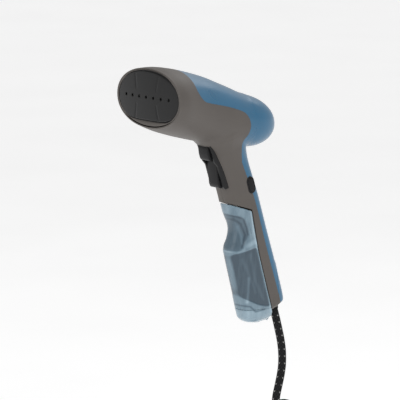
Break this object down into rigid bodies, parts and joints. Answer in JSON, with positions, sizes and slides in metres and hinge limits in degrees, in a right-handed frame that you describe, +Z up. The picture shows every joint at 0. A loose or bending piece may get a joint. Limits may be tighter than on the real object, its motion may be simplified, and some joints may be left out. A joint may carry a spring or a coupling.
{
  "type": "garment steamer",
  "caption": "Handheld garment steamer with a wide oval steam plate, pistol grip with triggers, lift-off water tank below the grip and a corded spine.",
  "frame": {"origin": "centre of the grip where the hand holds it, on the mid plane", "axes": "+X forward, the way the steam leaves; +Y to the object's left, the side with the power button; +Z up"},
  "size_m": [0.2302, 0.1114, 0.7049],
  "materials": {
    "housing_plastic": "fine satin texture",
    "cover_plastic": "satin gloss",
    "plate_coating": "dark non-stick coating",
    "dark_plastic": "fine matt texture",
    "red_plastic": "moulded",
    "clear_plastic": "clear, blue grey tint",
    "pale_plastic": "moulded",
    "blue_rubber": "soft",
    "black_rubber": "soft",
    "silicone": "soft, translucent look",
    "red_silicone": "soft",
    "cast_aluminium": "as cast",
    "steel": "plain",
    "mica": "pressed sheet",
    "copper_winding": "enamelled wire",
    "circuit_board": "lacquered",
    "wire_cover": "soft",
    "cord_braid": "woven braid with pale flecks",
    "blade_brass": "plated"
  },
  "bodies": {
    "housing": {"left_housing": "housing_plastic", "right_housing": "housing_plastic", "top_cover": "cover_plastic", "front_bezel": "housing_plastic", "face_gasket": "black_rubber", "face_plate": "plate_coating", "diffuser_plate": "cast_aluminium", "boiler_block": "cast_aluminium", "heating_element": "steel", "boiler_gasket": "red_silicone", "boiler_lid": "cast_aluminium", "boiler_screws": "steel", "heat_shield": "mica", "thermostat": "pale_plastic", "thermal_fuse": "steel", "pump_body": "pale_plastic", "pump_coil": "copper_winding", "pump_bracket": "steel", "pump_bobbin_cheek": "pale_plastic", "pump_mounts": "black_rubber", "inlet_tube": "silicone", "outlet_tube": "silicone", "tank_coupling": "housing_plastic", "trigger_surround": "dark_plastic", "steam_trigger_pin": "steel", "boost_trigger_pin": "steel", "steam_trigger_spring": "steel", "boost_trigger_spring": "steel", "micro_switches": "dark_plastic", "button_bezel": "dark_plastic", "button_spring": "steel", "power_switch": "dark_plastic", "control_board": "circuit_board", "wiring": "wire_cover", "cord_clamp": "dark_plastic", "strain_relief": "black_rubber", "housing_screws": "steel", "pump_spring": "steel", "power_cord": "cord_braid", "cord_hank": "cord_braid", "cord_tie": "black_rubber", "cord_tail": "cord_braid", "plug_body": "dark_plastic", "plug_blades": "blade_brass"},
    "steam_trigger": {"steam_trigger": "dark_plastic"},
    "boost_trigger": {"boost_trigger": "dark_plastic"},
    "steam_plunger": {"steam_plunger": "red_plastic"},
    "boost_plunger": {"boost_plunger": "red_plastic"},
    "power_button": {"power_button": "dark_plastic"},
    "pump_plunger": {"pump_plunger": "steel"},
    "tank": {"water_tank": "clear_plastic", "tank_base": "clear_plastic", "valve_housing": "pale_plastic", "neck_seal": "black_rubber", "valve_spring": "steel", "pickup_tube": "pale_plastic", "pickup_filter": "pale_plastic"},
    "valve_stem": {"valve_stem": "red_plastic"},
    "filler_plug": {"filler_plug": "blue_rubber"}
  },
  "joints": [
    {"name": "steam_trigger_pull", "type": "hinge", "parent": "housing", "child": "steam_trigger", "pos_m": [0.04252, 0, 0.07066], "axis": [0, 1, 0], "range_deg": [0, 7], "stiffness_Nm_per_rad": 0.15, "springref_deg": -20.05, "deforming": ["steam_trigger_spring"]},
    {"name": "boost_trigger_pull", "type": "hinge", "parent": "housing", "child": "boost_trigger", "pos_m": [0.03413, 0, 0.05178], "axis": [0, 1, 0], "range_deg": [0, 7], "stiffness_Nm_per_rad": 0.15, "springref_deg": -20.05, "deforming": ["boost_trigger_spring"]},
    {"name": "steam_plunger_press", "type": "slide", "parent": "housing", "child": "steam_plunger", "axis": [-0.9563, 0, 0.2924], "range_m": [0, 0.0013]},
    {"name": "boost_plunger_press", "type": "slide", "parent": "housing", "child": "boost_plunger", "axis": [-0.9563, 0, 0.2924], "range_m": [0, 0.0022]},
    {"name": "power_button_press", "type": "slide", "parent": "housing", "child": "power_button", "axis": [0, -1, 0], "range_m": [0, 0.0015], "stiffness_N_per_m": 600, "springref_m": -0.001, "deforming": ["button_spring"]},
    {"name": "pump_stroke", "type": "slide", "parent": "housing", "child": "pump_plunger", "axis": [-1, 0, 0], "range_m": [0, 0.0015], "stiffness_N_per_m": 800, "springref_m": -0.002, "deforming": ["pump_spring"]},
    {"name": "tank_release", "type": "slide", "parent": "housing", "child": "tank", "axis": [0, 0, -1], "range_m": [0, 0.15]},
    {"name": "valve_press", "type": "slide", "parent": "tank", "child": "valve_stem", "axis": [0, 0, -1], "range_m": [0, 0.002], "stiffness_N_per_m": 300, "springref_m": -0.002, "deforming": ["valve_spring"]},
    {"name": "filler_plug_pull", "type": "slide", "parent": "tank", "child": "filler_plug", "axis": [-0.2924, 0, -0.9563], "range_m": [0, 0.012]}
  ],
  "couplings": [
    {"joint": "steam_plunger_press", "follows": "steam_trigger_pull", "m_per_rad": 0.0096},
    {"joint": "boost_plunger_press", "follows": "boost_trigger_pull", "m_per_rad": 0.0172}
  ]
}
